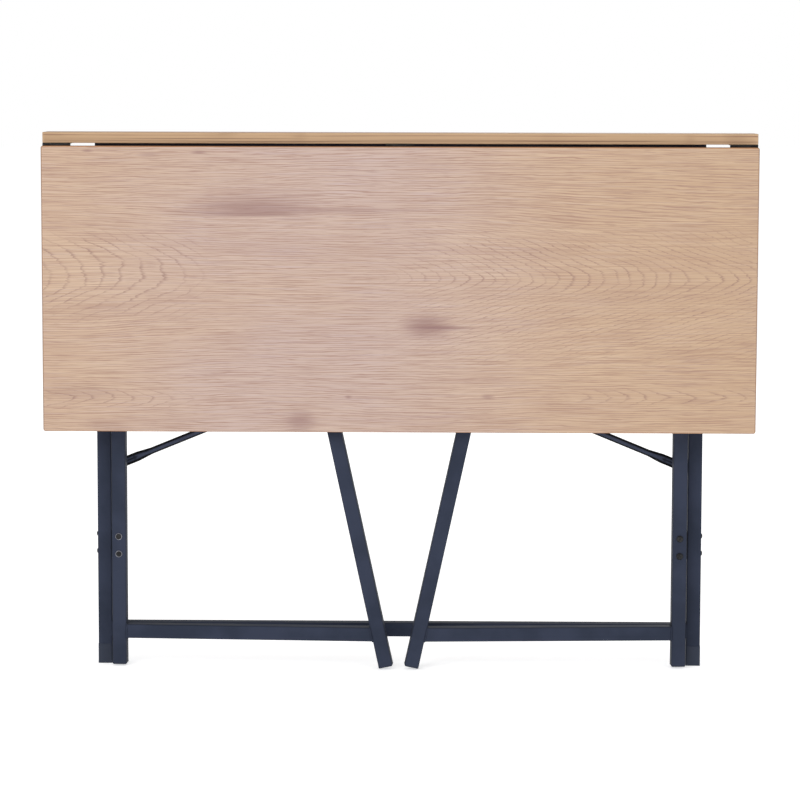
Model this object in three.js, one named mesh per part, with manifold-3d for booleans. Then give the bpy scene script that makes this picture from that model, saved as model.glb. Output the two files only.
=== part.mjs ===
// A wall-side gateleg table in its folded state: a narrow fixed top, one hanging leaf, a spine frame of
// square steel tube with an X-brace behind it, and two gates hinged on the spine legs.
// Millimetres, +Z up, +X to the right, the leaf's outer face looks towards -Y.

import * as THREE from 'three';
import { mergeVertices } from 'three/addons/utils/BufferGeometryUtils.js';
import Module from 'manifold-3d';

const wasm = await Module();
wasm.setup();

// ---- boards ----
const TABLE_WIDTH = 1000;
const TABLE_HEIGHT = 760;
const BOARD = 15;
const BOARD_CORNER = 3;
const BOARD_EDGE = 0.6;
const FIXED_TOP_DEPTH = 60;
const LEAF_LENGTH = 400;
const LEAF_GAP = 3.6;
const LEAF_STANDOFF = 2;

// ---- square tube ----
const TUBE = 20;
const TUBE_WALL = 1.2;
const TUBE_CORNER = 2;

// ---- spine frame ----
const SPINE_HALF_WIDTH = 431;
const STRETCHER_BOTTOM = 40;
const SLEEVE_WALL = 0.35;
const SLEEVE_FIT = 0.05;
const SLEEVE_HEIGHT = 28;
const FOOT_BASE = 2;

// ---- gates ----
const GATE_TOP = 676;
const GATE_REST_DEG = 3.1;
const STILE_GAP = 3.3;
const STILE_LIFT = 2;
const SLANT_LIFT = 1;
const SLANT_REACH = 391.7;
const SLANT_DEG = 12.32;
const GATE_TOP_RAIL_DROP = 4;
const WELD_GAP = 0.3;

// ---- end plugs ----
const PLUG_FLANGE = 2;
const PLUG_CHAMFER = 1.2;
const PLUG_INSERT = 8;
const PLUG_FIT = 0.4;
const PLUG_TAPER = 1;

// ---- butt hinges ----
const LEAF_KNUCKLE = { radius: 2.2, bore: 1.2, pin: 1 };
const GATE_KNUCKLE = { radius: 1.6, bore: 0.9, pin: 0.7 };
const HINGE_PLATE = 1;
const HINGE_LENGTH = 39;
const KNUCKLE_GAP = 0.3;
const OUTER_KNUCKLE = 11;
const LEAF_PLATE_WIDTH = 22;
const GATE_PLATE_WIDTH = 16;
const PLATE_GAP = 0.1;
const TONGUE_LAP = 1;
const LEAF_HINGE_OFFSET = 480;
const GATE_HINGE_OFFSET = 172;
const BOLT_PITCH = 25;

// ---- X-brace ----
const BRACE_LOW = 277.5;
const BRACE_HIGH = 622.3;
const ROD_RADIUS = 4.8;
const FLAT_HALF_WIDTH = 7;
const FLAT_HALF_THICKNESS = 1.5;
const FLAT_END = 58;
const FLAT_MIDDLE = 20;
const FLAT_RUN = 21;
const END_MARGIN = 8;
const CROSSING_OFFSET = 1.6;
const BRACE_BOLT_HOLE = 3.1;
const RIVET_HEAD = 2;
const HEAD_HEIGHT = 2.6;
const BRACE_HEAD_RADIUS = 5;
const GATE_HEAD_RADIUS = 4.4;
const SHANK_FIT = 0.2;

// ---- pan heads, as shares of the head's height and radius ----
const HEAD_DOME = 0.45;
const HEAD_FALL = 0.3;
const HEAD_SHOULDER = 0.8;

const ROUND_SIDES = 12;
const CORNER_STEPS = 3;

// ---- worked out from the above ----
const BOARD_UNDERSIDE = TABLE_HEIGHT - BOARD;
const SPINE_LEG_CENTRE = SPINE_HALF_WIDTH - TUBE / 2;
const SPINE_INNER = SPINE_HALF_WIDTH - TUBE;
const SPINE_REAR = TUBE;
const FIXED_TOP_FRONT = SPINE_REAR - FIXED_TOP_DEPTH;
const LEAF_INNER = FIXED_TOP_FRONT - LEAF_STANDOFF;
const LEAF_OUTER = LEAF_INNER - BOARD;
const LEAF_TOP = BOARD_UNDERSIDE - LEAF_GAP;
const LEAF_PIN_Y = LEAF_INNER + LEAF_KNUCKLE.radius;
const LEAF_PIN_Z = BOARD_UNDERSIDE - LEAF_KNUCKLE.radius;
const GATE_PIN_X = SPINE_INNER - GATE_KNUCKLE.radius;
const GATE_PIN_Y = HINGE_PLATE - GATE_KNUCKLE.radius;
const STILE_OFFSET = STILE_GAP - GATE_KNUCKLE.radius;
const STILE_CENTRE = STILE_OFFSET + TUBE / 2;
const GATE_BACK = GATE_KNUCKLE.radius - HINGE_PLATE;
const GATE_MIDDLE = GATE_BACK - TUBE / 2;
const SLANT = THREE.MathUtils.degToRad(SLANT_DEG);
const BRACE_MIDDLE_Z = (BRACE_LOW + BRACE_HIGH) / 2;
const BRACE_Y = SPINE_REAR + FLAT_HALF_THICKNESS;
const BRACE_SLOPE = Math.atan2((BRACE_HIGH - BRACE_LOW) / 2, SPINE_LEG_CENTRE);
const BRACE_BOLT_REACH = Math.hypot((BRACE_HIGH - BRACE_LOW) / 2, SPINE_LEG_CENTRE);
const RIVET_REAR = BRACE_Y + CROSSING_OFFSET + FLAT_HALF_THICKNESS + RIVET_HEAD;
const ORIGIN_Y = (LEAF_OUTER + RIVET_REAR) / 2;

// Each knuckle runs from one place to another along the pin. The half on the frame has the two outer
// knuckles, and the moving half has the middle one.
const HINGE_END = HINGE_LENGTH / 2;
const MIDDLE_END = HINGE_END - OUTER_KNUCKLE;
const OUTER_KNUCKLES = [[-HINGE_END, -MIDDLE_END], [MIDDLE_END, HINGE_END]];
const MIDDLE_KNUCKLE = [[KNUCKLE_GAP - MIDDLE_END, MIDDLE_END - KNUCKLE_GAP]];

const X_AXIS = new THREE.Vector3(1, 0, 0);
const Y_AXIS = new THREE.Vector3(0, 1, 0);
const Z_AXIS = new THREE.Vector3(0, 0, 1);

// ---- materials ----
function material(color, roughness, metalness) {
  return new THREE.MeshStandardMaterial({ color, roughness, metalness });
}
const oak = () => material(0xcaa98c, 0.55, 0);
const navySteel = () => material(0x3a3e4e, 0.4, 0.5);
const blackSteel = () => material(0x17181c, 0.4, 0.8);
const darkPlastic = () => material(0x2c2f3a, 0.6, 0);

// ---- solids ----
function solid(geometry) {
  const bare = geometry.clone();
  bare.deleteAttribute('normal');
  bare.deleteAttribute('uv');
  const merged = mergeVertices(bare, 1e-4);
  return new wasm.Manifold(new wasm.Mesh({
    numProp: 3,
    vertProperties: new Float32Array(merged.attributes.position.array),
    triVerts: new Uint32Array(merged.index.array),
  }));
}

function geometryOf(manifold) {
  const mesh = manifold.getMesh();
  const positions = [];
  for (let i = 0; i < mesh.vertProperties.length; i += mesh.numProp) {
    positions.push(...mesh.vertProperties.slice(i, i + 3));
  }
  const geometry = new THREE.BufferGeometry();
  geometry.setAttribute('position', new THREE.Float32BufferAttribute(positions, 3));
  geometry.setIndex([...mesh.triVerts]);
  geometry.computeVertexNormals();
  return geometry;
}

function joined(geometries) {
  return geometries.map(solid).reduce((whole, piece) => whole.add(piece));
}

function node(name, geometry, look) {
  const mesh = new THREE.Mesh(geometry, look);
  mesh.name = name;
  return mesh;
}

// A rectangle with rounded corners about the origin.
function roundedRectangle(Outline, width, height, radius) {
  const x = width / 2 - radius;
  const y = height / 2 - radius;
  const outline = new Outline();
  outline.absarc(x, y, radius, 0, Math.PI / 2);
  outline.absarc(-x, y, radius, Math.PI / 2, Math.PI);
  outline.absarc(-x, -y, radius, Math.PI, Math.PI * 1.5);
  outline.absarc(x, -y, radius, Math.PI * 1.5, Math.PI * 2);
  outline.closePath();
  return outline;
}

// A board centred on the origin, its thickness along Z, with eased edges.
function board(width, depth) {
  const shape = roundedRectangle(
    THREE.Shape, width - 2 * BOARD_EDGE, depth - 2 * BOARD_EDGE, BOARD_CORNER - BOARD_EDGE);
  const geometry = new THREE.ExtrudeGeometry(shape, {
    depth: BOARD - 2 * BOARD_EDGE,
    bevelEnabled: true,
    bevelThickness: BOARD_EDGE,
    bevelSize: BOARD_EDGE,
    bevelSegments: 1,
    curveSegments: CORNER_STEPS,
  });
  return geometry.translate(0, 0, BOARD_EDGE - BOARD / 2);
}

// A square tube, open at both ends, standing on the origin along +Z.
function tube(length) {
  const shape = roundedRectangle(THREE.Shape, TUBE, TUBE, TUBE_CORNER);
  const bore = TUBE - 2 * TUBE_WALL;
  shape.holes.push(roundedRectangle(THREE.Path, bore, bore, TUBE_CORNER - TUBE_WALL));
  return new THREE.ExtrudeGeometry(shape, {
    depth: length,
    bevelEnabled: false,
    curveSegments: CORNER_STEPS,
  });
}

// The same tube lying along +X from the origin.
function rail(length) {
  return tube(length).rotateY(Math.PI / 2);
}

// A round bar along an axis, centred on the origin.
function roundBar(radius, length, axis) {
  const bar = new THREE.CylinderGeometry(radius, radius, length, ROUND_SIDES);
  return bar.applyQuaternion(new THREE.Quaternion().setFromUnitVectors(Y_AXIS, axis));
}

// A block of a frustum's shape on a square base, from z = 0 up.
function squareFrustum(lowSide, highSide, height) {
  const frustum = new THREE.CylinderGeometry(
    highSide * Math.SQRT1_2, lowSide * Math.SQRT1_2, height, 4, 1, false, Math.PI / 4);
  return frustum.rotateX(Math.PI / 2).translate(0, 0, height / 2);
}

// A plug for the last stretch of a tube: z = 0 is its outer face, +Z goes inwards.
function plug() {
  const insertSide = TUBE - 2 * TUBE_WALL - 2 * PLUG_FIT;
  const chamfer = squareFrustum(TUBE - 2 * PLUG_CHAMFER, TUBE, PLUG_CHAMFER);
  const flange = squareFrustum(TUBE, TUBE, PLUG_FLANGE - PLUG_CHAMFER);
  const insert = squareFrustum(insertSide, insertSide - PLUG_TAPER, PLUG_INSERT);
  return geometryOf(joined([
    chamfer,
    flange.translate(0, 0, PLUG_CHAMFER),
    insert.translate(0, 0, PLUG_FLANGE - PLUG_CHAMFER),
  ]));
}

// A thin sleeve with a floor, for a spine leg's foot.
function footSleeve() {
  const outside = TUBE + 2 * (SLEEVE_FIT + SLEEVE_WALL);
  const inside = TUBE + 2 * SLEEVE_FIT;
  const wrap = (side, height) => new THREE.ExtrudeGeometry(
    roundedRectangle(THREE.Shape, side, side, TUBE_CORNER + (side - TUBE) / 2),
    { depth: height, bevelEnabled: false, curveSegments: CORNER_STEPS });
  const cup = solid(wrap(outside, SLEEVE_HEIGHT));
  return geometryOf(cup.subtract(solid(wrap(inside, SLEEVE_HEIGHT).translate(0, 0, FOOT_BASE))));
}

// A pan head that rises along +Z from the origin, on a shank that goes down from it.
function panHead(radius, height, shankRadius, shankLength) {
  const dome = height * HEAD_DOME;
  const profile = [
    new THREE.Vector2(0, -shankLength),
    ...(shankLength > 0 ? [new THREE.Vector2(shankRadius, -shankLength),
      new THREE.Vector2(shankRadius, 0)] : []),
    new THREE.Vector2(radius, 0),
    new THREE.Vector2(radius, height - dome),
    new THREE.Vector2(radius * HEAD_SHOULDER, height - dome * HEAD_FALL),
    new THREE.Vector2(0, height),
  ];
  return new THREE.LatheGeometry(profile, ROUND_SIDES).rotateX(Math.PI / 2);
}

// ---- butt hinges ----
// One half of a butt hinge about the origin. The pin runs along `axis`, the plate goes out along
// `out`, and its outer face is tangent to the knuckles on the side `face`. `size` gives the radii of
// the knuckles, the bore through them and the pin.
function hingeHalf(size, axis, out, face, width, knuckles) {
  const slab = (from, to, low, high, thickness) => {
    const extent = new THREE.Vector3()
      .addScaledVector(absolute(axis), to - from)
      .addScaledVector(absolute(out), high - low)
      .addScaledVector(absolute(face), thickness);
    const centre = new THREE.Vector3()
      .addScaledVector(axis, (from + to) / 2)
      .addScaledVector(out, (low + high) / 2)
      .addScaledVector(face, size.radius - thickness / 2);
    return new THREE.BoxGeometry(extent.x, extent.y, extent.z).translate(centre.x, centre.y, centre.z);
  };
  const clear = size.radius + KNUCKLE_GAP;
  const thickness = HINGE_PLATE - PLATE_GAP;
  const pieces = [slab(-HINGE_END, HINGE_END, clear, width, thickness)];
  for (const [from, to] of knuckles) {
    pieces.push(slab(from, to, 0, clear + TONGUE_LAP, thickness));
    const barrel = roundBar(size.radius, to - from, axis);
    const middle = axis.clone().multiplyScalar((from + to) / 2);
    pieces.push(barrel.translate(middle.x, middle.y, middle.z));
  }
  const bore = solid(roundBar(size.bore, 2 * HINGE_LENGTH, axis));
  return geometryOf(joined(pieces).subtract(bore));
}

function absolute(vector) {
  return new THREE.Vector3(Math.abs(vector.x), Math.abs(vector.y), Math.abs(vector.z));
}

function leafHinge(name, x) {
  const hinge = new THREE.Group();
  hinge.position.set(x, LEAF_PIN_Y, LEAF_PIN_Z);
  const down = Z_AXIS.clone().negate();
  const front = Y_AXIS.clone().negate();
  hinge.add(
    node(`${name}_top_plate`,
      hingeHalf(LEAF_KNUCKLE, X_AXIS, Y_AXIS, Z_AXIS, LEAF_PLATE_WIDTH, OUTER_KNUCKLES),
      blackSteel()),
    node(`${name}_leaf_plate`,
      hingeHalf(LEAF_KNUCKLE, X_AXIS, down, front, LEAF_PLATE_WIDTH, MIDDLE_KNUCKLE),
      blackSteel()),
    node(`${name}_pin`, roundBar(LEAF_KNUCKLE.pin, HINGE_LENGTH, X_AXIS), blackSteel()),
  );
  return hinge;
}

// ---- top boards ----
function topBoards() {
  const boards = new THREE.Group();
  const fixed = node('fixed_top', board(TABLE_WIDTH, FIXED_TOP_DEPTH), oak());
  fixed.position.set(0, SPINE_REAR - FIXED_TOP_DEPTH / 2, TABLE_HEIGHT - BOARD / 2);
  const leaf = node('drop_leaf', board(TABLE_WIDTH, LEAF_LENGTH).rotateX(Math.PI / 2), oak());
  leaf.position.set(0, (LEAF_INNER + LEAF_OUTER) / 2, LEAF_TOP - LEAF_LENGTH / 2);
  boards.add(fixed, leaf);
  boards.add(leafHinge('leaf_hinge_left', -LEAF_HINGE_OFFSET));
  boards.add(leafHinge('leaf_hinge_centre', 0));
  boards.add(leafHinge('leaf_hinge_right', LEAF_HINGE_OFFSET));
  return boards;
}

// ---- spine frame ----
function spineFrame() {
  const spine = new THREE.Group();
  spine.position.y = TUBE / 2;
  for (const [name, side] of [['left', -1], ['right', 1]]) {
    const leg = node(`spine_leg_${name}`, tube(BOARD_UNDERSIDE - FOOT_BASE), navySteel());
    leg.position.set(side * SPINE_LEG_CENTRE, 0, FOOT_BASE);
    const sleeve = node(`spine_foot_${name}`, footSleeve(), darkPlastic());
    sleeve.position.set(side * SPINE_LEG_CENTRE, 0, 0);
    spine.add(leg, sleeve);
  }
  const topRail = node('spine_top_rail', rail(2 * SPINE_INNER), navySteel());
  topRail.position.set(-SPINE_INNER, 0, BOARD_UNDERSIDE - TUBE / 2);
  const stretcher = node('spine_stretcher', rail(2 * SPINE_INNER), navySteel());
  stretcher.position.set(-SPINE_INNER, 0, STRETCHER_BOTTOM + TUBE / 2);
  spine.add(topRail, stretcher);
  return spine;
}

// ---- X-brace ----
// One station of a rod: distance from the crossing, half width, half thickness, shift along Y.
function rodStations(shift) {
  const end = BRACE_BOLT_REACH + END_MARGIN;
  const half = [
    [FLAT_MIDDLE, FLAT_HALF_WIDTH, FLAT_HALF_THICKNESS, shift],
    [FLAT_MIDDLE + FLAT_RUN, ROD_RADIUS, ROD_RADIUS, 0],
    [end - FLAT_END - FLAT_RUN, ROD_RADIUS, ROD_RADIUS, 0],
    [end - FLAT_END, FLAT_HALF_WIDTH, FLAT_HALF_THICKNESS, 0],
    [end - FLAT_HALF_WIDTH / 2, FLAT_HALF_WIDTH, FLAT_HALF_THICKNESS, 0],
    [end, FLAT_HALF_WIDTH / 2, FLAT_HALF_THICKNESS, 0],
  ];
  const mirrored = half.map(([at, ...rest]) => [-at, ...rest]).reverse();
  return [...mirrored, ...half];
}

// A rod along X, round between its flattened ends and middle, with holes for its fasteners.
function braceRod(shift) {
  const positions = [];
  const index = [];
  const stations = rodStations(shift);
  for (const [at, halfWidth, halfThickness, offset] of stations) {
    for (let i = 0; i < ROUND_SIDES; i += 1) {
      const angle = (2 * Math.PI * (i + 0.5)) / ROUND_SIDES;
      const flatness = halfThickness / halfWidth;
      const height = Math.sign(Math.sin(angle)) * Math.abs(Math.sin(angle)) ** flatness;
      positions.push(at, offset + halfThickness * height, halfWidth * Math.cos(angle));
    }
  }
  const ring = (station, i) => station * ROUND_SIDES + (i % ROUND_SIDES);
  for (let s = 0; s < stations.length - 1; s += 1) {
    for (let i = 0; i < ROUND_SIDES; i += 1) {
      index.push(ring(s, i), ring(s + 1, i + 1), ring(s, i + 1));
      index.push(ring(s, i), ring(s + 1, i), ring(s + 1, i + 1));
    }
  }
  const last = stations.length - 1;
  for (let i = 1; i < ROUND_SIDES - 1; i += 1) {
    index.push(ring(0, 0), ring(0, i), ring(0, i + 1));
    index.push(ring(last, 0), ring(last, i + 1), ring(last, i));
  }
  const geometry = new THREE.BufferGeometry();
  geometry.setAttribute('position', new THREE.Float32BufferAttribute(positions, 3));
  geometry.setIndex(index);
  const hole = (at) => solid(
    roundBar(BRACE_BOLT_HOLE, 4 * ROD_RADIUS, Y_AXIS).translate(at, 0, 0));
  return geometryOf(solid(geometry)
    .subtract(hole(-BRACE_BOLT_REACH))
    .subtract(hole(0))
    .subtract(hole(BRACE_BOLT_REACH)));
}

function crossBrace() {
  const brace = new THREE.Group();
  brace.position.set(0, BRACE_Y, BRACE_MIDDLE_Z);
  const shankRadius = BRACE_BOLT_HOLE - SHANK_FIT;
  const shankLength = 2 * FLAT_HALF_THICKNESS - SHANK_FIT;
  for (const [name, slope, shift] of [
    ['rising', -BRACE_SLOPE, -CROSSING_OFFSET],
    ['falling', BRACE_SLOPE, CROSSING_OFFSET],
  ]) {
    const rod = new THREE.Group();
    rod.rotation.y = slope;
    rod.add(node(`brace_rod_${name}`, braceRod(shift), navySteel()));
    for (const [end, side] of [['left', -1], ['right', 1]]) {
      const head = panHead(BRACE_HEAD_RADIUS, HEAD_HEIGHT, shankRadius, shankLength);
      const bolt = node(`brace_bolt_${name}_${end}`, head.rotateX(-Math.PI / 2), blackSteel());
      bolt.position.set(side * BRACE_BOLT_REACH, FLAT_HALF_THICKNESS, 0);
      rod.add(bolt);
    }
    brace.add(rod);
  }
  const rivetSpan = 2 * (CROSSING_OFFSET + FLAT_HALF_THICKNESS);
  const rivetShape = panHead(BRACE_HEAD_RADIUS, RIVET_HEAD, shankRadius, rivetSpan);
  const rivet = node('brace_rivet', rivetShape.rotateX(-Math.PI / 2), blackSteel());
  rivet.position.set(0, rivetSpan / 2, 0);
  brace.add(rivet);
  return brace;
}

// ---- gates ----
// Distance of the slanted leg's centre line from the hinge pin, at a height above the floor.
function slantAt(height) {
  return STILE_OFFSET + SLANT_REACH - Math.tan(SLANT) * height;
}

// A tube-sized bar along the slanted leg's line, wider by a gap all round, that cuts the rails to fit.
function slantCutter() {
  const side = TUBE + 2 * WELD_GAP;
  const bar = new THREE.BoxGeometry(side, 2 * side, 2 * GATE_TOP).rotateY(SLANT);
  const middle = GATE_TOP / 2;
  return solid(bar.translate(-slantAt(middle), 0, middle));
}

// A rail from the stile's inner face to the slanted leg's inner face, in the right gate's frame.
function gateRail(height) {
  const start = STILE_OFFSET + TUBE + WELD_GAP;
  const end = slantAt(height);
  return geometryOf(
    solid(rail(end - start).translate(-end, 0, height)).subtract(slantCutter()));
}

// The plugs' outer faces stand at the two ends of the leg, square to its own axis.
function gateLeg(name, low, high) {
  const leg = new THREE.Group();
  const body = node(name, tube(high - low - 2 * PLUG_FLANGE), navySteel());
  body.position.z = low + PLUG_FLANGE;
  const foot = node(`${name}_foot_plug`, plug(), darkPlastic());
  foot.position.z = low;
  const cap = node(`${name}_top_plug`, plug().rotateX(Math.PI), darkPlastic());
  cap.position.z = high;
  leg.add(body, foot, cap);
  return leg;
}

function gateHinge(name, side, height) {
  const hinge = new THREE.Group();
  const outwards = X_AXIS.clone().multiplyScalar(side);
  const inwards = outwards.clone().negate();
  const spinePlate = node(`${name}_spine_plate`,
    hingeHalf(GATE_KNUCKLE, Z_AXIS, Y_AXIS, outwards, GATE_PLATE_WIDTH, OUTER_KNUCKLES),
    blackSteel());
  const pin = node(`${name}_pin`, roundBar(GATE_KNUCKLE.pin, HINGE_LENGTH, Z_AXIS), blackSteel());
  hinge.add(spinePlate, pin);
  const gatePlate = node(`${name}_gate_plate`,
    hingeHalf(GATE_KNUCKLE, Z_AXIS, inwards, Y_AXIS, GATE_PLATE_WIDTH, MIDDLE_KNUCKLE),
    blackSteel());
  hinge.position.z = height;
  gatePlate.position.z = height;
  return { hinge, gatePlate };
}

function gate(name, side) {
  const assembly = new THREE.Group();
  assembly.position.set(side * GATE_PIN_X, GATE_PIN_Y, 0);
  const swinging = new THREE.Group();
  swinging.rotation.z = side * THREE.MathUtils.degToRad(GATE_REST_DEG);
  assembly.add(swinging);

  const frame = new THREE.Group();
  frame.position.y = GATE_MIDDLE - PLATE_GAP;
  const stile = gateLeg(`${name}_stile`, STILE_LIFT, GATE_TOP);
  stile.position.x = -side * STILE_CENTRE;
  const tilt = TUBE / 2 * Math.sin(SLANT);
  const slantLow = SLANT_LIFT + tilt;
  const slantHigh = GATE_TOP - tilt;
  const slanted = gateLeg(`${name}_slanted_leg`, 0, (slantHigh - slantLow) / Math.cos(SLANT));
  slanted.position.set(-side * slantAt(slantLow), 0, slantLow);
  slanted.rotation.y = side * SLANT;
  frame.add(stile, slanted);
  for (const [which, height] of [
    ['bottom', STRETCHER_BOTTOM + TUBE / 2],
    ['top', GATE_TOP - GATE_TOP_RAIL_DROP - TUBE / 2],
  ]) {
    const turn = side > 0 ? 0 : Math.PI;
    const part = node(`${name}_${which}_rail`, gateRail(height).rotateZ(turn), navySteel());
    frame.add(part);
  }
  swinging.add(frame);

  for (const [level, height] of [
    ['lower', STILE_LIFT + GATE_HINGE_OFFSET],
    ['upper', GATE_TOP - GATE_HINGE_OFFSET],
  ]) {
    const { hinge, gatePlate } = gateHinge(`${name}_${level}_hinge`, side, height);
    assembly.add(hinge);
    swinging.add(gatePlate);
    for (const [place, step] of [['low', -0.5], ['high', 0.5]]) {
      const bolt = node(`${name}_${level}_bolt_${place}`,
        panHead(GATE_HEAD_RADIUS, HEAD_HEIGHT, 0, 0).rotateX(Math.PI / 2), blackSteel());
      const front = GATE_MIDDLE - TUBE / 2 - 2 * PLATE_GAP;
      bolt.position.set(-side * STILE_CENTRE, front, height + step * BOLT_PITCH);
      swinging.add(bolt);
    }
  }
  return assembly;
}

const table = new THREE.Group();
table.position.y = -ORIGIN_Y;
table.add(topBoards(), spineFrame(), crossBrace(), gate('left_gate', -1), gate('right_gate', 1));

export default table;
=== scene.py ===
"""The looks of the folded gateleg table: oak-print boards, powder-coated tube, welds, screws and hinges."""

import math
import random

import bmesh
import bpy
import numpy as np
from mathutils import Matrix, Vector


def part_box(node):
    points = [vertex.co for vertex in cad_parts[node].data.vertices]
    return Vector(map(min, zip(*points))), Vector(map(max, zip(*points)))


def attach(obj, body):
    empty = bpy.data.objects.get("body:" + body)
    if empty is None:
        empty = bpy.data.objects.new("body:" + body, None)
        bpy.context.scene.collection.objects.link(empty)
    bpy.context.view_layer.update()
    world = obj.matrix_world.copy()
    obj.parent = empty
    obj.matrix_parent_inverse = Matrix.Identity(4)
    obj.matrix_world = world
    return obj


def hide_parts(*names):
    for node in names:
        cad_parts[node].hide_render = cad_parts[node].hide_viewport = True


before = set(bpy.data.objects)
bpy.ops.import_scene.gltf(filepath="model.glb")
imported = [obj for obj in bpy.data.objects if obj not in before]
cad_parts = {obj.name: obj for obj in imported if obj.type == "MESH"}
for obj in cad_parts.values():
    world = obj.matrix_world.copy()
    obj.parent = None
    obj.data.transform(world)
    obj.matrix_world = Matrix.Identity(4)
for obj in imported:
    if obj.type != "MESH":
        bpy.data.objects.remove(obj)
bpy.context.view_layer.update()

# ---- camera and floor ----
CAMERA_PLACE = Vector((0.0555, -4.3243, 0.8459))
CAMERA_YAW = math.radians(0.724)
CAMERA_PITCH = math.radians(6.112)
CAMERA_ROLL = math.radians(0.1457)
CAMERA_LENS = 138.206
SENSOR = 36.0
CLIP_END = 200.0
FLOOR_RADIUS = 30.0
FLOOR_DROP = 0.0002
LIGHTS_AIM = (0, 0, 0.4)
LIGHT_SIZE = 2.4

# ---- sizes in metres ----
TUBE = 0.020

BEAD_RADIUS = 0.0012
BEAD_CORNER = 0.002
BEAD_RIPPLE = 0.16
BEAD_PITCH = 0.0022
BEAD_STEP = BEAD_PITCH / 4
BEAD_SIDES = 8

TURNED_SIDES = 24
GATE_HEAD_RADIUS = 0.0041
COLLAR_INNER = 0.0040
COLLAR_OUTER = 0.0048
COLLAR_SHARE = 0.55
GATE_RECESS = (0.0027, 0.00062, 0.0004)     # reach, half width and depth
SPINE_HEAD_RADIUS = 0.0034
SPINE_HEAD_HEIGHT = 0.0022
SPINE_HEAD_PITCH = 0.025

HINGE_PLATE = 0.0009
SCREW_PITCH = 0.013
SCREW_INSET = 0.008
# Radius and height of the points round a countersunk screw's half section.
SCREW_PROFILE = [(0, -0.0002), (0.0031, -0.0002), (0.0033, 0.0001), (0.0026, 0.0004), (0, 0.00045)]
SCREW_CROWN = 0.0005
SCREW_RECESS = (0.0018, 0.0004, 0.0003)     # reach, half width and depth

ROD_RADIUS = 0.0048
FLAT_HALF_WIDTH = 0.007
FLAT_LENGTH = 0.053
FLAT_RUN = 0.021

X = Vector((1, 0, 0))
Y = Vector((0, 1, 0))
Z = Vector((0, 0, 1))


# ---- node materials ----
def linear(red, green, blue):
    """An sRGB colour of 0 to 255 as the linear colour that a shader takes."""
    def one(value):
        share = value / 255
        return share / 12.92 if share <= 0.04045 else ((share + 0.055) / 1.055) ** 2.4
    return (one(red), one(green), one(blue), 1.0)


class Shader:
    """A Principled material under construction, with short calls for the few nodes used here."""

    def __init__(self, name):
        self.material = bpy.data.materials.new(name)
        self.material.use_nodes = True
        self.tree = self.material.node_tree
        self.surface = self.tree.nodes["Principled BSDF"]
        places = self.add("ShaderNodeTexCoord").outputs
        self.place = places["Object"]
        self.normal = places["Normal"]

    def add(self, kind, *values, **settings):
        node = self.tree.nodes.new(kind)
        for key, value in settings.items():
            setattr(node, key, value)
        for socket, value in zip(node.inputs, values):
            self.feed(socket, value)
        return node

    def feed(self, socket, value):
        if isinstance(value, bpy.types.NodeSocket):
            self.tree.links.new(value, socket)
        else:
            socket.default_value = value

    def math(self, operation, *values):
        return self.add("ShaderNodeMath", *values, operation=operation).outputs[0]

    def plus(self, first, second):
        return self.math("ADD", first, second)

    def minus(self, first, second):
        return self.math("SUBTRACT", first, second)

    def times(self, first, second):
        return self.math("MULTIPLY", first, second)

    def over(self, first, second):
        return self.math("DIVIDE", first, second)

    def larger(self, first, second):
        return self.math("MAXIMUM", first, second)

    def size(self, value):
        return self.math("ABSOLUTE", value)

    def hypotenuse(self, first, second):
        squares = self.plus(self.math("POWER", first, 2.0), self.math("POWER", second, 2.0))
        return self.math("SQRT", squares)

    def axes(self, vector):
        return self.add("ShaderNodeSeparateXYZ", vector).outputs

    def vector(self, x, y, z):
        return self.add("ShaderNodeCombineXYZ", x, y, z).outputs[0]

    def noise(self, vector, x, y, z, detail=2.0, roughness=0.5):
        """Noise with x, y and z waves a metre along the three axes of the vector."""
        waves = self.add("ShaderNodeVectorMath", vector, (x, y, z), operation="MULTIPLY").outputs[0]
        node = self.add("ShaderNodeTexNoise")
        self.feed(node.inputs["Vector"], waves)
        node.inputs["Scale"].default_value = 1.0
        node.inputs["Detail"].default_value = detail
        node.inputs["Roughness"].default_value = roughness
        return node.outputs[0]

    def span(self, value, low, high, to_low=0.0, to_high=1.0):
        """Maps low..high to to_low..to_high with soft ends."""
        node = self.add("ShaderNodeMapRange", value, low, high, to_low, to_high)
        node.interpolation_type = "SMOOTHSTEP"
        return node.outputs[0]

    def mixed(self, factor, first, second):
        """Mixes two colours. Inputs 6 and 7 and output 2 are the node's colour sockets."""
        node = self.add("ShaderNodeMix", data_type="RGBA")
        self.feed(node.inputs["Factor"], factor)
        self.feed(node.inputs[6], first)
        self.feed(node.inputs[7], second)
        return node.outputs[2]

    def bump(self, height, distance, strength):
        node = self.add("ShaderNodeBump")
        node.inputs["Strength"].default_value = strength
        node.inputs["Distance"].default_value = distance
        self.feed(node.inputs["Height"], height)
        self.feed(self.surface.inputs["Normal"], node.outputs[0])

    def colour(self, value):
        self.feed(self.surface.inputs["Base Color"], value)

    def rough(self, value):
        self.feed(self.surface.inputs["Roughness"], value)

    def fixed(self, **values):
        """Sets inputs of the surface to plain values. An underscore stands for a space."""
        for key, value in values.items():
            self.surface.inputs[key.replace("_", " ")].default_value = value


# ---- the oak print ----
OAK_LIGHT = linear(214, 189, 162)
OAK_MIDDLE = linear(184, 151, 129)
OAK_STREAK = linear(156, 120, 105)
OAK_PINK = linear(193, 174, 175)
OAK_WARM = linear(191, 158, 119)
OAK_RING = linear(138, 104, 98)
OAK_KNOT = linear(140, 106, 104)

TOP_BAND = linear(200, 167, 132)
# The leaf's edging: its own orange-brown, darkened further with painted shade so that its eased top edge
# does not catch the light from above.
LEAF_BAND_AND_SHADE = linear(146, 102, 68)
BAND_STREAK = linear(144, 112, 88)
BAND_LINE = linear(138, 98, 82)
TOP_STREAKS = (0.7562, 0.7488)          # heights of the two lines along the fixed top's front edge

# The line along the leaf's top edge: the bare core's brown, deepened by painted shade of the gap between
# the boards.
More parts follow.
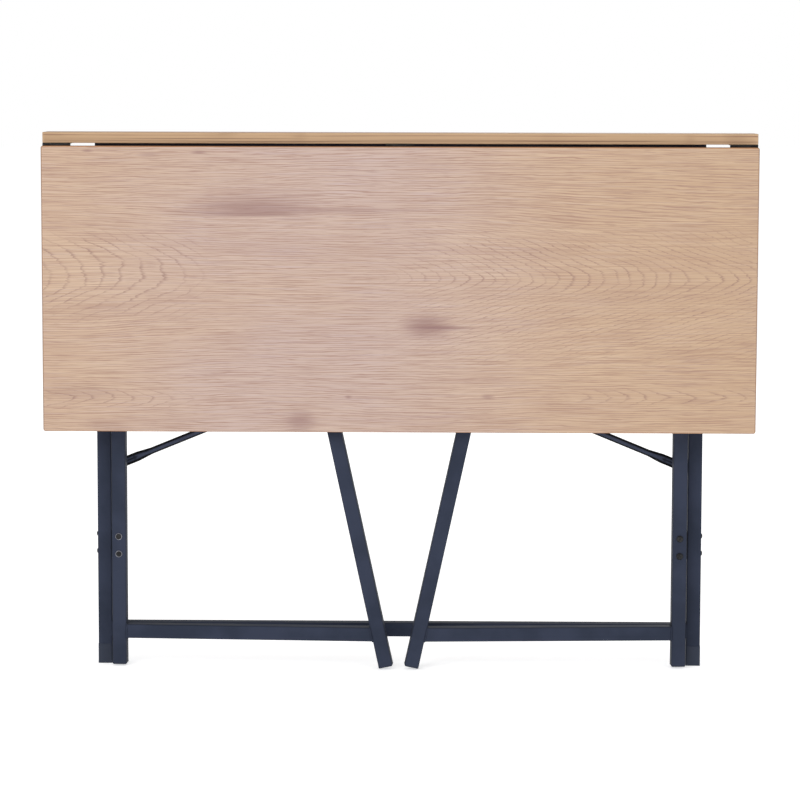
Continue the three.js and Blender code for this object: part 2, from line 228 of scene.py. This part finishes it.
LEAF_RIM_AND_GAP_SHADE = linear(176, 112, 56)
LEAF_RIM_HEIGHTS = (0.7396, 0.7408)     # where the leaf's top rim starts and where it is full
SIDE_RIM = linear(120, 84, 62)
SIDE_RIM_PLACES = (0.4984, 0.4994)      # the same for its side rims, from the middle outwards

# Cathedral figures of the leaf, with tips that point along +X: the height of their centre line, the
# steepness of the arches above and below it, their spacing along the board, how far above and below the
# line they show, where they fade in, and how blunt the tips are at the board's left and right ends.
LEAF_FIGURES = [
    {"line": 0.562, "steep_above": 0.44, "steep_below": 0.38, "spacing": 0.0250,
     "reach_above": 0.075, "reach_below": 0.080, "fade": (-0.24, -0.34), "tips": (0.060, 0.015)},
    {"line": 0.559, "steep_above": 0.34, "steep_below": 0.29, "spacing": 0.0205,
     "reach_above": 0.090, "reach_below": 0.150, "fade": (-0.08, 0.12), "tips": (0.010, 0.050)},
    {"line": 0.390, "steep_above": 0.22, "steep_below": 0.20, "spacing": 0.0300,
     "reach_above": 0.016, "reach_below": 0.016, "fade": (-0.24, -0.36), "tips": (0.020, 0.020)},
    {"line": 0.392, "steep_above": 0.22, "steep_below": 0.20, "spacing": 0.0330,
     "reach_above": 0.016, "reach_below": 0.014, "fade": (0.20, 0.33), "tips": (0.020, 0.020)},
]
HEART_LINE = 0.560

# Knots and smudges of the leaf: centre along and across, half length, half height, strength, and
# whether the lower half is cut off.
LEAF_KNOTS = [
    (0.038, 0.492, 0.040, 0.020, 0.58, False),
    (0.056, 0.489, 0.055, 0.003, 0.75, False),
    (-0.139, 0.357, 0.026, 0.018, 0.50, False),
    (-0.209, 0.645, 0.105, 0.042, 0.62, True),
    (-0.080, 0.653, 0.130, 0.005, 0.35, False),
    (-0.435, 0.735, 0.010, 0.003, 0.60, False),
    (-0.349, 0.729, 0.020, 0.006, 0.30, False),
    (-0.279, 0.733, 0.014, 0.003, 0.60, False),
    (-0.071, 0.391, 0.007, 0.003, 0.60, False),
    (0.124, 0.392, 0.010, 0.004, 0.45, False),
    (-0.440, 0.396, 0.060, 0.012, 0.28, False),
    (-0.410, 0.347, 0.040, 0.012, 0.25, False),
]


def ring_figure(shader, along, across, jitter, figure):
    """Nested arches: how dark their lines are, and how far they show, both from 0 to 1."""
    offset = shader.minus(across, figure["line"])
    above = shader.larger(offset, 0.0)
    below = shader.math("MINIMUM", offset, 0.0)
    high_part = shader.over(above, figure["steep_above"])
    low_part = shader.over(below, figure["steep_below"])
    tip = shader.span(along, -0.5, 0.5, *figure["tips"])
    distance = shader.plus(along, shader.hypotenuse(tip, shader.plus(high_part, low_part)))
    share = shader.math("FRACT", shader.plus(shader.over(distance, figure["spacing"]), jitter))
    soft = shader.math("POWER", shader.span(share, 0.0, 0.34, 1.0, 0.0), 3.0)
    line = shader.larger(soft, shader.span(share, 0.95, 1.0))
    used_above = shader.over(above, figure["reach_above"])
    used_below = shader.over(below, figure["reach_below"])
    near = shader.span(shader.minus(used_above, used_below), 0.45, 1.0, 1.0, 0.0)
    shown = shader.times(shader.span(along, *figure["fade"]), near)
    return shader.times(line, shown), shown


def all_figures(shader, along, across, grain, wander, figures):
    """The arches of all figures together: how dark their lines are, and how far they show."""
    jag = shader.noise(grain, 22.0, 480.0, 1.0)
    jitter = shader.plus(shader.times(wander, 3.0), shader.times(jag, 0.55))
    rings = 0.0
    arched = 0.0
    for figure in figures:
        lines, shown = ring_figure(shader, along, across, jitter, figure)
        rings = shader.larger(rings, lines)
        arched = shader.larger(arched, shown)
    return rings, arched


def knot_mask(shader, along, across, ripple, knot):
    """An oval patch with a ragged edge, from 0 to its strength."""
    centre, middle, length, height, strength, is_cut = knot
    run = shader.over(shader.minus(along, centre), length)
    rise = shader.over(shader.minus(across, middle), height)
    mask = shader.span(shader.plus(shader.hypotenuse(run, rise), ripple), 0.1, 1.2, strength, 0.0)
    if is_cut:
        mask = shader.times(mask, shader.span(rise, -0.06, 0.02))
    return mask


def flow(shader, along, across):
    """Bends the grain: its lines draw together towards the right end and apart towards the left one."""
    offset = shader.minus(across, HEART_LINE)
    near = shader.span(shader.size(offset), 0.03, 0.15, 1.0, 0.0)
    closing = shader.span(along, 0.0, 0.5, 0.0, 0.30)
    opening = shader.span(along, -0.25, -0.5, 0.0, 0.12)
    return shader.plus(across, shader.times(shader.times(offset, near), shader.minus(closing, opening)))


def pore_lines(shader, across, grain):
    """The print's fine pore lines: nearly parallel, a few millimetres apart, wavy and broken."""
    wave = shader.noise(grain, 4.0, 26.0, 1.0)
    shiver = shader.noise(grain, 34.0, 220.0, 1.0, detail=1.0)
    phase = shader.plus(shader.plus(shader.times(across, 330.0), shader.times(wave, 4.0)), shiver)
    middle = shader.size(shader.minus(shader.math("FRACT", phase), 0.5))
    line = shader.span(middle, 0.06, 0.26, 1.0, 0.0)
    pieces = shader.noise(grain, 15.0, 290.0, 1.0, detail=1.0)
    return shader.times(line, shader.span(pieces, 0.36, 0.62, 0.08, 0.62))


def oak_ground(shader, along, grain, fibre, fine, dashes):
    """The print without its arches, pores and knots: pinker near the middle and warmer to the right."""
    lilac = shader.noise(grain, 9.0, 640.0, 7.0, detail=1.0)
    tone = shader.noise(grain, 1.9, 26.0, 1.0, detail=3.0)
    patch = shader.noise(shader.place, 2.3, 5.0, 5.0)
    ground = shader.mixed(shader.span(fibre, 0.30, 0.70, 0.22, 0.72), OAK_LIGHT, OAK_MIDDLE)
    ground = shader.mixed(shader.span(tone, 0.46, 0.78, 0.0, 0.24), ground, OAK_STREAK)
    centred = shader.span(shader.size(shader.plus(along, 0.12)), 0.05, 0.40, 0.50, 0.02)
    pinkish = shader.times(centred, shader.span(patch, 0.30, 0.65, 0.45, 1.0))
    pinkish = shader.plus(pinkish, shader.span(lilac, 0.52, 0.66, 0.0, 0.22))
    ground = shader.mixed(pinkish, ground, OAK_PINK)
    ground = shader.mixed(shader.span(along, 0.05, 0.5, 0.0, 0.34), ground, OAK_WARM)
    ground = shader.mixed(shader.span(fine, 0.46, 0.70, 0.0, 0.44), ground, OAK_STREAK)
    return shader.mixed(shader.span(dashes, 0.58, 0.72, 0.0, 0.35), ground, OAK_RING)


def oak_edging(shader, sway, fine, wander, band, streaks):
    """The edge band: straight faint streaks, and a broken line at each height in streaks."""
    straight = shader.noise(shader.place, 2.2, 360.0, 360.0, detail=1.0)
    edging = shader.mixed(shader.span(straight, 0.58, 0.68, 0.0, 0.8), band, BAND_STREAK)
    edging = shader.mixed(shader.span(fine, 0.5, 0.8, 0.0, 0.4), edging, BAND_STREAK)
    level = shader.plus(shader.axes(shader.place)[2], shader.times(sway, 0.06))
    for height in streaks:
        streak = shader.span(shader.size(shader.minus(level, height)), 0.0002, 0.0010, 1.0, 0.0)
        broken = shader.span(wander, 0.34, 0.66, 0.05, 0.55)
        edging = shader.mixed(shader.times(streak, broken), edging, BAND_LINE)
    return edging


def leaf_rims(shader, along, body):
    """The leaf's rim: a brown line along its top edge, the bare core's brown deepened by painted shade of
    the gap above it, and a darker bare line down each side.
    """
    top = shader.span(shader.axes(shader.place)[2], *LEAF_RIM_HEIGHTS, 0.0, 0.85)
    body = shader.mixed(top, body, LEAF_RIM_AND_GAP_SHADE)
    side = shader.span(shader.size(along), *SIDE_RIM_PLACES, 0.0, 0.8)
    return shader.mixed(side, body, SIDE_RIM)


def oak(name, across_axis, face_axis, band, figures=(), knots=(), streaks=()):
    """Printed oak, its grain along X. The faces square to face_axis are the print, the rest is edging."""
    shader = Shader(name)
    axes = shader.axes(shader.place)
    along = axes[0]
    drift = shader.noise(shader.place, 3.1, 9.0, 9.0, detail=1.0)
    sway = shader.times(shader.minus(drift, 0.5), 0.016)
    across = shader.plus(axes[across_axis], sway)
    bent = flow(shader, along, across) if figures else across
    grain = shader.vector(along, bent, 0.0)
    fibre = shader.noise(grain, 6.0, 560.0, 1.0, roughness=0.6)
    fine = shader.noise(grain, 11.0, 880.0, 1.0, detail=1.0)
    dashes = shader.noise(grain, 36.0, 1250.0, 1.0, detail=1.0)
    wander = shader.noise(grain, 6.0, 20.0, 1.0)

    body = oak_ground(shader, along, grain, fibre, fine, dashes)
    rings, arched = all_figures(shader, along, across, grain, wander, figures)
    calm = shader.minus(1.0, shader.times(arched, 0.65))
    body = shader.mixed(shader.times(pore_lines(shader, bent, grain), calm), body, OAK_STREAK)
    if figures:
        uneven = shader.span(shader.noise(grain, 18.0, 60.0, 1.0), 0.3, 0.7, 0.18, 0.62)
        body = shader.mixed(shader.times(rings, uneven), body, OAK_RING)
    ripple = shader.times(shader.minus(fibre, 0.5), 1.6)
    for knot in knots:
        body = shader.mixed(knot_mask(shader, along, axes[across_axis], ripple, knot), body, OAK_KNOT)
    if figures:
        body = leaf_rims(shader, along, body)

    edging = oak_edging(shader, sway, fine, wander, band, streaks)
    is_face = shader.math("GREATER_THAN", shader.size(shader.axes(shader.normal)[face_axis]), 0.8)
    shader.colour(shader.mixed(is_face, edging, body))
    shader.rough(shader.span(fine, 0.2, 0.8, 0.46, 0.60))
    shader.bump(shader.plus(shader.times(fibre, 0.6), shader.times(dashes, 0.4)), 0.00012, 0.6)
    shader.fixed(Specular_IOR_Level=0.30)
    return shader.material


# ---- steel and plastic ----
COAT_DARK = linear(47, 53, 68)
COAT_LIGHT = linear(55, 61, 78)
COAT_DUST = linear(120, 124, 138)
# Painted shade: the colour that the coat's rounded corners are darkened towards.
COAT_CORNER_SHADE = linear(18, 20, 27)
# Painted shade: the colour that faces turned away from front and back are darkened towards.
COAT_SIDE_SHADE = linear(14, 15, 20)
CORNER_SHADE_WIDTH = 0.0016

# Painted highlight and painted shade of a brace rod: its lit coat along the crown, and the near black at
# its edges.
ROD_LIT_COAT_DARK = linear(62, 69, 88)
ROD_LIT_COAT_LIGHT = linear(72, 79, 99)
ROD_SHADE = linear(11, 12, 16)

PLASTIC = linear(43, 50, 66)
PLASTIC_WORN = linear(64, 70, 84)


def powder_coat(name):
    """Satin powder coat: a fine orange-peel skin, faint dust, and painted shade on its rounded corners and
    on its faces that turn sideways.
    """
    shader = Shader(name)
    peel = shader.noise(shader.place, 900.0, 900.0, 900.0)
    cloud = shader.noise(shader.place, 14.0, 14.0, 14.0, detail=4.0)
    dust = shader.noise(shader.place, 260.0, 260.0, 260.0, detail=3.0, roughness=0.7)
    coat = shader.mixed(shader.span(cloud, 0.35, 0.65), COAT_DARK, COAT_LIGHT)
    coat = shader.mixed(shader.span(dust, 0.66, 0.80, 0.0, 0.10), coat, COAT_DUST)
    # Painted shade: the rounded corners, found where the bevel normal turns away from the face normal, are
    # darkened.
    bevel = shader.add("ShaderNodeBevel", CORNER_SHADE_WIDTH, samples=4).outputs[0]
    flat = shader.add("ShaderNodeNewGeometry").outputs["Normal"]
    turn = shader.add("ShaderNodeVectorMath", bevel, flat, operation="DOT_PRODUCT").outputs["Value"]
    coat = shader.mixed(shader.span(turn, 0.80, 0.985, 0.35, 0.0), coat, COAT_CORNER_SHADE)
    # Painted shade: faces that do not face front or back, the tubes' sides, tops and bottoms, are darkened.
    facing = shader.size(shader.axes(shader.normal)[1])
    coat = shader.mixed(shader.span(facing, 0.30, 0.95, 0.38, 0.0), coat, COAT_SIDE_SHADE)
    shader.colour(coat)
    shader.rough(shader.span(cloud, 0.3, 0.7, 0.50, 0.62))
    shader.bump(peel, 0.00006, 0.5)
    shader.fixed(Specular_IOR_Level=0.06)
    return shader.material


def rod_coat(name, node):
    """The coat on a brace rod: a painted highlight along its crown, and painted shade, near black, at its
    edges, in the flats' dimples and where the flats begin.
    """
    shader = Shader(name)
    points = corners_of(node)
    middle = points.mean(0)
    heading = long_direction(points)
    half_length = float(np.abs((points - middle) @ heading).max())
    flat_start = half_length - FLAT_LENGTH
    place = shader.axes(shader.place)
    x = shader.minus(place[0], float(middle[0]))
    z = shader.minus(place[2], float(middle[2]))
    run = float(heading[0])
    climb = float(heading[2])
    aside = shader.size(shader.minus(shader.times(z, run), shader.times(x, climb)))
    reach = shader.size(shader.plus(shader.times(x, run), shader.times(z, climb)))
    flat = shader.span(reach, flat_start - FLAT_RUN, flat_start)
    half_width = shader.plus(ROD_RADIUS, shader.times(flat, FLAT_HALF_WIDTH - ROD_RADIUS))
    share = shader.over(aside, half_width)
    # Painted shade: the rod's edges, the middle of its flattened ends and the step where they begin are
    # darkened.
    edge = shader.span(share, 0.24, 0.66)
    dimple = shader.times(shader.span(share, 0.05, 0.32, 0.75, 0.0), shader.span(flat, 0.8, 1.0))
    lip = shader.span(shader.size(shader.minus(reach, flat_start)), 0.0008, 0.0028, 0.6, 0.0)
    shade = shader.larger(shader.larger(edge, dimple), lip)
    cloud = shader.noise(shader.place, 30.0, 30.0, 30.0, detail=3.0)
    peel = shader.noise(shader.place, 900.0, 900.0, 900.0)
    # Painted highlight: the rod's coat is lighter than the tubes' coat and shows along the crown, where the
    # painted shade leaves off.
    coat = shader.mixed(shader.span(cloud, 0.3, 0.7), ROD_LIT_COAT_DARK, ROD_LIT_COAT_LIGHT)
    shader.colour(shader.mixed(shade, coat, ROD_SHADE))
    shader.rough(0.5)
    shader.bump(peel, 0.00006, 0.5)
    shader.fixed(Specular_IOR_Level=0.08)
    return shader.material


def turned_steel(name, tint, metallic, roughness):
    """Screws, pins and hinges: uneven oxide and fine turning scratches."""
    shader = Shader(name)
    cloud = shader.noise(shader.place, 180.0, 180.0, 180.0, detail=3.0)
    scratch = shader.noise(shader.place, 2600.0, 2600.0, 300.0, detail=1.0)
    lifted = tuple(min(1.0, channel * 1.8 + 0.01) for channel in tint[:3]) + (1.0,)
    shader.colour(shader.mixed(shader.span(cloud, 0.4, 0.7), tint, lifted))
    shader.rough(shader.span(scratch, 0.3, 0.7, roughness, roughness + 0.18))
    shader.bump(scratch, 0.00003, 0.4)
    shader.fixed(Metallic=metallic)
    return shader.material


def moulded_plastic(name):
    """Matt moulded plastic with a fine spark-eroded skin and scuffs."""
    shader = Shader(name)
    skin = shader.noise(shader.place, 1500.0, 1500.0, 1500.0)
    scuff = shader.noise(shader.place, 120.0, 120.0, 420.0, detail=3.0)
    worn = shader.span(scuff, 0.58, 0.78, 0.0, 0.35)
    shader.colour(shader.mixed(worn, PLASTIC, PLASTIC_WORN))
    shader.rough(shader.span(skin, 0.3, 0.7, 0.52, 0.66))
    shader.bump(skin, 0.00005, 0.5)
    shader.fixed(Specular_IOR_Level=0.3)
    return shader.material


def coat_nodes(materials):
    """Gives every CAD node its finished material."""
    for name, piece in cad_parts.items():
        if name == "drop_leaf":
            look = materials["leaf"]
        elif name == "fixed_top":
            look = materials["fixed_top"]
        elif "plug" in name or name.startswith("spine_foot"):
            look = materials["plastic"]
        elif name.endswith("_pin"):
            look = materials["pin"]
        elif "rod" in name:
            look = materials[name]
        elif "hinge" in name or "bolt" in name or "rivet" in name:
            look = materials["hardware"]
        else:
            look = materials["tube"]
        piece.data.materials.clear()
        piece.data.materials.append(look)


# ---- places read from the frame ----
def corners_of(node):
    """The corners of a CAD node at rest, one row each."""
    return np.array([corner.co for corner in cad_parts[node].data.vertices], float)


def centre_of(node):
    """The middle of a CAD node's box."""
    low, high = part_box(node)
    return (low + high) / 2


def long_direction(points):
    """The unit vector along which a set of points is longest."""
    return np.linalg.svd(points - points.mean(0), full_matrices=False)[2][0]


def tube_ends(node):
    """The two ends of a tube's centre line, from the rings of corners at its ends."""
    points = corners_of(node)
    far = (points - points.mean(0)) @ long_direction(points) > 0
    first = Vector(points[~far].mean(0))
    second = Vector(points[far].mean(0))
    return (first, second) if (first.x, first.z) < (second.x, second.z) else (second, first)


def gate_directions(gate):
    """Unit vectors square to the gate towards its front, and up its slanted leg."""
    stile_foot = tube_ends(f"{gate}_stile")[0]
    low, high = sorted(tube_ends(f"{gate}_slanted_leg"), key=lambda point: point.z)
    along = Vector((low.x - stile_foot.x, low.y - stile_foot.y, 0)).normalized()
    front = along.cross(Z)
    if front.y > 0:
        front.negate()
    return front, (high - low).normalized()


# ---- welds ----
def finished(name, mesh, material, body):
    """Links a bmesh as a smooth-shaded piece that rides on a body."""
    bmesh.ops.recalc_face_normals(mesh, faces=mesh.faces)
    data = bpy.data.meshes.new(name)
    mesh.to_mesh(data)
    mesh.free()
    data.materials.append(material)
    data.polygons.foreach_set("use_smooth", [True] * len(data.polygons))
    data.set_sharp_from_angle(angle=math.radians(38))
    piece = bpy.data.objects.new(name, data)
    bpy.context.scene.collection.objects.link(piece)
    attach(piece, body)
    return piece


def rounded_outline(centre, side, rise, half_side, half_rise):
    """Points round a rounded rectangle, four at each corner."""
    outline = []
    for turn in range(4):
        sign_side = 1 if turn in (0, 3) else -1
        sign_rise = 1 if turn in (0, 1) else -1
        for step in range(4):
            angle = math.radians(90 * turn + 30 * step)
            outline.append(centre
                           + side * (sign_side * (half_side - BEAD_CORNER) + BEAD_CORNER * math.cos(angle))
                           + rise * (sign_rise * (half_rise - BEAD_CORNER) + BEAD_CORNER * math.sin(angle)))
    return outline


def bead_loop(mesh, centre, side, rise, half_side, half_rise, seed):
    """A weld bead run round a tube's end: a lumpy ring on a rounded rectangle."""
    dice = random.Random(seed)
    outline = rounded_outline(centre, side, rise, half_side, half_rise)
    path = []
    for i, point in enumerate(outline):
        following = outline[(i + 1) % len(outline)]
        count = max(1, round((following - point).length / BEAD_STEP))
        path += [point.lerp(following, step / count) for step in range(count)]
    normal = side.cross(rise).normalized()
    rings = []
    travelled = 0.0
    swell = dice.uniform(0.9, 1.1)
    for i, point in enumerate(path):
        # The ripple follows the length of bead laid so far, and the bead's thickness drifts every 8 steps.
        travelled += (path[(i + 1) % len(path)] - point).length
        ripple = BEAD_RIPPLE * math.sin(2 * math.pi * travelled / BEAD_PITCH)
        if i % 8 == 0:
            swell = 0.75 * swell + 0.25 * dice.uniform(0.8, 1.25)
        size = BEAD_RADIUS * swell * (1 + ripple)
        outward = (point - centre).normalized()
        rings.append([mesh.verts.new(point + size * (
            math.cos(2 * math.pi * k / BEAD_SIDES) * outward
            + math.sin(2 * math.pi * k / BEAD_SIDES) * normal)) for k in range(BEAD_SIDES)])
    for ring, following in zip(rings, rings[1:] + rings[:1]):
        for k in range(BEAD_SIDES):
            after = (k + 1) % BEAD_SIDES
            mesh.faces.new((ring[k], ring[after], following[after], following[k]))


def spine_welds(material):
    """Beads where the top rail and the stretcher meet the spine legs."""
    mesh = bmesh.new()
    for seed, rail in enumerate(("spine_top_rail", "spine_stretcher")):
        for end, point in enumerate(tube_ends(rail)):
            bead_loop(mesh, point, Y, Z, TUBE / 2, TUBE / 2, 10 * seed + end)
    finished("spine_weld_beads", mesh, material, "frame")


def gate_welds(gate, material):
    """Beads where a gate's rails meet its stile and its slanted leg."""
    mesh = bmesh.new()
    front, lean = gate_directions(gate)
    stile = centre_of(f"{gate}_stile")
    slant_rise = TUBE / 2 / lean.z
    for seed, rail in enumerate((f"{gate}_bottom_rail", f"{gate}_top_rail")):
        near, far = sorted(tube_ends(rail), key=lambda point: abs(point.x - stile.x))
        bead_loop(mesh, near, front, Z, TUBE / 2, TUBE / 2, 50 + seed)
        bead_loop(mesh, far, front, lean, TUBE / 2, slant_rise, 60 + seed)
    finished(f"{gate}_weld_beads", mesh, material, gate)


# ---- screw heads ----
def square_to(axis, helper, spare):
    """Two unit vectors square to an axis and to each other; the first is square to the helper too."""
    side = axis.cross(helper if abs(axis.dot(helper)) < 0.9 else spare).normalized()
    return side, axis.cross(side)


def turned(mesh, centre, axis, profile):
    """A solid turned about an axis through centre, from (radius, height) points in order round its edge."""
    side, rise = square_to(axis, Y, X)
    rings = []
    for radius, height in profile:
        if radius == 0:
            rings.append([mesh.verts.new(centre + axis * height)])
            continue
        rings.append([mesh.verts.new(
            centre + axis * height
            + radius * (math.cos(2 * math.pi * k / TURNED_SIDES) * side
                        + math.sin(2 * math.pi * k / TURNED_SIDES) * rise)) for k in range(TURNED_SIDES)])
    if profile[0][0] > 0:
        rings.append(rings[0])
    for low, high in zip(rings, rings[1:]):
        for k in range(TURNED_SIDES):
            after = k + 1
            ring = [low[k % len(low)], low[after % len(low)], high[after % len(high)], high[k % len(high)]]
            mesh.faces.new(list(dict.fromkeys(ring)))


def cross_recess(mesh, centre, axis, size, turn):
    """The dark cross of a driver recess in a head's crown. Its size is (reach, half width, depth)."""
    reach, width, depth = size
    side, rise = square_to(axis, Z, X)
    outline = []
    for wing in range(4):
        heading = turn + math.pi / 2 * wing
        for tilt in (-width, width):
            outline.append((reach * math.cos(heading) - tilt * math.sin(heading),
                            reach * math.sin(heading) + tilt * math.cos(heading)))
        inner = turn + math.pi / 2 * wing + math.pi / 4
        outline.append((width * math.sqrt(2) * math.cos(inner), width * math.sqrt(2) * math.sin(inner)))
    floor = centre - axis * depth
    top = [mesh.verts.new(centre + side * a + rise * b) for a, b in outline]
    bottom = [mesh.verts.new(floor + side * a * 0.6 + rise * b * 0.6) for a, b in outline]
    for i in range(len(outline)):
        j = (i + 1) % len(outline)
        mesh.faces.new((top[i], top[j], bottom[j], bottom[i]))
    mesh.faces.new(bottom)
    mesh.faces.new(list(reversed(top)))


def pan_head(mesh, base, axis, radius, height):
    """A pan head with a rounded shoulder that stands on its base along the axis."""
    shoulder = [(radius * math.cos(math.radians(a)) ** 0.7 if a < 90 else 0.0,
                 height * (0.35 + 0.65 * math.sin(math.radians(a)))) for a in range(0, 91, 15)]
    turned(mesh, base, axis, [(0, 0), (radius * 0.98, 0), (radius, height * 0.1)] + shoulder)


def collar_ring(mesh, base, axis, height):
    """The collar round a gate's screw head, with its outer edge sloped off."""
    turned(mesh, base, axis, [(COLLAR_INNER, 0.0), (COLLAR_OUTER, 0.0), (COLLAR_OUTER, height * 0.5),
                              (COLLAR_OUTER - height * 0.5, height), (COLLAR_INNER, height)])


def gate_bolts(gate, hardware, rim, recess):
    """Cross-recessed pan heads, each in a collar, that stand for a gate's hinge bolts."""
    front = gate_directions(gate)[0]
    for level in ("lower", "upper"):
        for place, turn in (("low", math.radians(20)), ("high", math.radians(55))):
            node = f"{gate}_{level}_bolt_{place}"
            reaches = corners_of(node) @ np.array(front)
            centre = centre_of(node)
            base = centre + front * float(reaches.min() - centre.dot(front))
            height = float(reaches.max() - reaches.min())
            mesh = bmesh.new()
            pan_head(mesh, base, front, GATE_HEAD_RADIUS, height)
            head = finished(f"{gate}_{level}_head_{place}", mesh, hardware, gate)
            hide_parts(node)
            collar = bmesh.new()
            collar_ring(collar, base, front, height * COLLAR_SHARE)
            finished(f"{gate}_{level}_collar_{place}", collar, rim, gate)
            star = bmesh.new()
            cross_recess(star, base + front * (height * 1.01), front, GATE_RECESS, turn)
            finished(f"{gate}_{level}_recess_{place}", star, recess, gate)


def spine_bolt_heads(hardware):
    """Small heads on the outer faces of the spine legs, where the gate hinges are bolted through."""
    for side, gate in (("left", "left_gate"), ("right", "right_gate")):
        low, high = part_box(f"spine_leg_{side}")
        outward = -X if side == "left" else X
        face = low.x if side == "left" else high.x
        mesh = bmesh.new()
        for level in ("lower", "upper"):
            plate_low, plate_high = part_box(f"{gate}_{level}_hinge_spine_plate")
            middle = (plate_low.z + plate_high.z) / 2
            for step in (-0.5, 0.5):
                base = Vector((face, (low.y + high.y) / 2, middle + step * SPINE_HEAD_PITCH))
                pan_head(mesh, base, outward, SPINE_HEAD_RADIUS, SPINE_HEAD_HEIGHT)
        finished(f"spine_leg_bolt_heads_{side}", mesh, hardware, "frame")


def hinge_screws(hardware, recess):
    """Three countersunk screws in each plate of the hinges between the boards."""
    for body, plate, outward in (("frame", "top_plate", -Z), ("leaf", "leaf_plate", Y)):
        heads = bmesh.new()
        stars = bmesh.new()
        for place in ("left", "centre", "right"):
            low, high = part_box(f"leaf_hinge_{place}_{plate}")
            for step in (-1, 0, 1):
                along = (low.x + high.x) / 2 + step * SCREW_PITCH
                if body == "frame":
                    base = Vector((along, high.y - SCREW_INSET, high.z - HINGE_PLATE))
                else:
                    base = Vector((along, low.y + HINGE_PLATE, low.z + SCREW_INSET))
                turned(heads, base, outward, SCREW_PROFILE)
                cross_recess(stars, base + outward * SCREW_CROWN, outward, SCREW_RECESS, 0.5 + step)
        finished(f"leaf_hinge_screws_{body}", heads, hardware, body)
        finished(f"leaf_hinge_recesses_{body}", stars, recess, body)


# ---- camera, light and floor ----
def camera():
    """A long lens in front of the table, a little above its top and looking slightly down."""
    data = bpy.data.cameras.new("camera")
    data.lens = CAMERA_LENS
    data.sensor_width = SENSOR
    data.clip_end = CLIP_END
    eye = bpy.data.objects.new("camera", data)
    bpy.context.scene.collection.objects.link(eye)
    ahead = Vector((-math.sin(CAMERA_YAW) * math.cos(CAMERA_PITCH),
                    math.cos(CAMERA_YAW) * math.cos(CAMERA_PITCH),
                    -math.sin(CAMERA_PITCH)))
    right = Vector((math.cos(CAMERA_YAW), math.sin(CAMERA_YAW), 0))
    up = right.cross(ahead)
    right_rolled = right * math.cos(CAMERA_ROLL) + up * math.sin(CAMERA_ROLL)
    up_rolled = up * math.cos(CAMERA_ROLL) - right * math.sin(CAMERA_ROLL)
    turn = Matrix((right_rolled, up_rolled, -ahead)).transposed()
    eye.matrix_world = Matrix.Translation(CAMERA_PLACE) @ turn.to_4x4()
    bpy.context.scene.camera = eye


def soft_light(name, place, watts):
    """A large round light that points at the table's middle."""
    data = bpy.data.lights.new(name, "AREA")
    data.shape = "DISK"
    data.size = LIGHT_SIZE
    data.energy = watts
    lamp = bpy.data.objects.new(name, data)
    lamp.location = place
    lamp.rotation_mode = "QUATERNION"
    lamp.rotation_quaternion = (Vector(LIGHTS_AIM) - Vector(place)).to_track_quat("-Z", "Y")
    bpy.context.scene.collection.objects.link(lamp)


def white_sky():
    """A sky that is pure white to the camera and lights the scene half as strongly."""
    world = bpy.data.worlds.new("studio")
    world.use_nodes = True
    nodes = world.node_tree.nodes
    links = world.node_tree.links
    sky = nodes["Background"]
    sky.inputs["Color"].default_value = (1, 1, 1, 1)
    sky.inputs["Strength"].default_value = 0.50
    seen = nodes.new("ShaderNodeBackground")
    seen.inputs["Color"].default_value = (1, 1, 1, 1)
    rays = nodes.new("ShaderNodeLightPath")
    choice = nodes.new("ShaderNodeMixShader")
    links.new(rays.outputs["Is Camera Ray"], choice.inputs[0])
    links.new(sky.outputs[0], choice.inputs[1])
    links.new(seen.outputs[0], choice.inputs[2])
    links.new(choice.outputs[0], nodes["World Output"].inputs["Surface"])
    bpy.context.scene.world = world
    bpy.context.scene.view_settings.view_transform = "Standard"


def pale_floor():
    """A wide, faintly glowing floor just under the feet."""
    shader = Shader("pale_floor")
    mottle = shader.noise(shader.place, 6.0, 6.0, 6.0, detail=3.0)
    shader.colour(shader.mixed(mottle, (0.93, 0.93, 0.93, 1), (0.96, 0.96, 0.96, 1)))
    shader.fixed(Roughness=0.9, Specular_IOR_Level=0.1, Emission_Color=(1, 1, 1, 1), Emission_Strength=0.55)
    mesh = bmesh.new()
    bmesh.ops.create_circle(mesh, cap_ends=True, segments=64, radius=FLOOR_RADIUS)
    data = bpy.data.meshes.new("floor")
    mesh.to_mesh(data)
    mesh.free()
    data.materials.append(shader.material)
    floor = bpy.data.objects.new("floor", data)
    floor.location.z = -FLOOR_DROP
    bpy.context.scene.collection.objects.link(floor)


camera()
white_sky()
soft_light("key", (-1.8, -3.4, 2.6), 54)
soft_light("fill", (2.6, -3.0, 1.6), 20)
soft_light("back", (0.8, 3.4, 2.4), 27)
pale_floor()

materials = {
    "leaf": oak("oak_leaf", 2, 1, LEAF_BAND_AND_SHADE, figures=LEAF_FIGURES, knots=LEAF_KNOTS),
    "fixed_top": oak("oak_fixed_top", 1, 2, TOP_BAND, streaks=TOP_STREAKS),
    "tube": powder_coat("navy_powder_coat"),
    "brace_rod_rising": rod_coat("rising_rod_coat", "brace_rod_rising"),
    "brace_rod_falling": rod_coat("falling_rod_coat", "brace_rod_falling"),
    "plastic": moulded_plastic("dark_plastic"),
    "hardware": turned_steel("black_hardware", linear(12, 13, 17), 0.3, 0.38),
    "pin": turned_steel("hinge_pin", linear(92, 92, 96), 0.9, 0.28),
    # Painted shade: the near black inside the driver recesses of the screw heads.
    "recess": turned_steel("cross_recess", linear(3, 3, 4), 0.0, 0.7),
    # Painted highlight: the light grey of the collars round the left gate's screw heads.
    "collar_painted_highlight": turned_steel("collar_painted_highlight", linear(128, 128, 136), 0.35, 0.4),
}
coat_nodes(materials)
spine_welds(materials["tube"])
# The left gate's collars get the light grey of a painted highlight, the right gate's the black of the
# hardware.
for gate_name, rim_name in (("left_gate", "collar_painted_highlight"), ("right_gate", "hardware")):
    gate_welds(gate_name, materials["tube"])
    gate_bolts(gate_name, materials["hardware"], materials[rim_name], materials["recess"])
spine_bolt_heads(materials["hardware"])
hinge_screws(materials["pin"], materials["recess"])
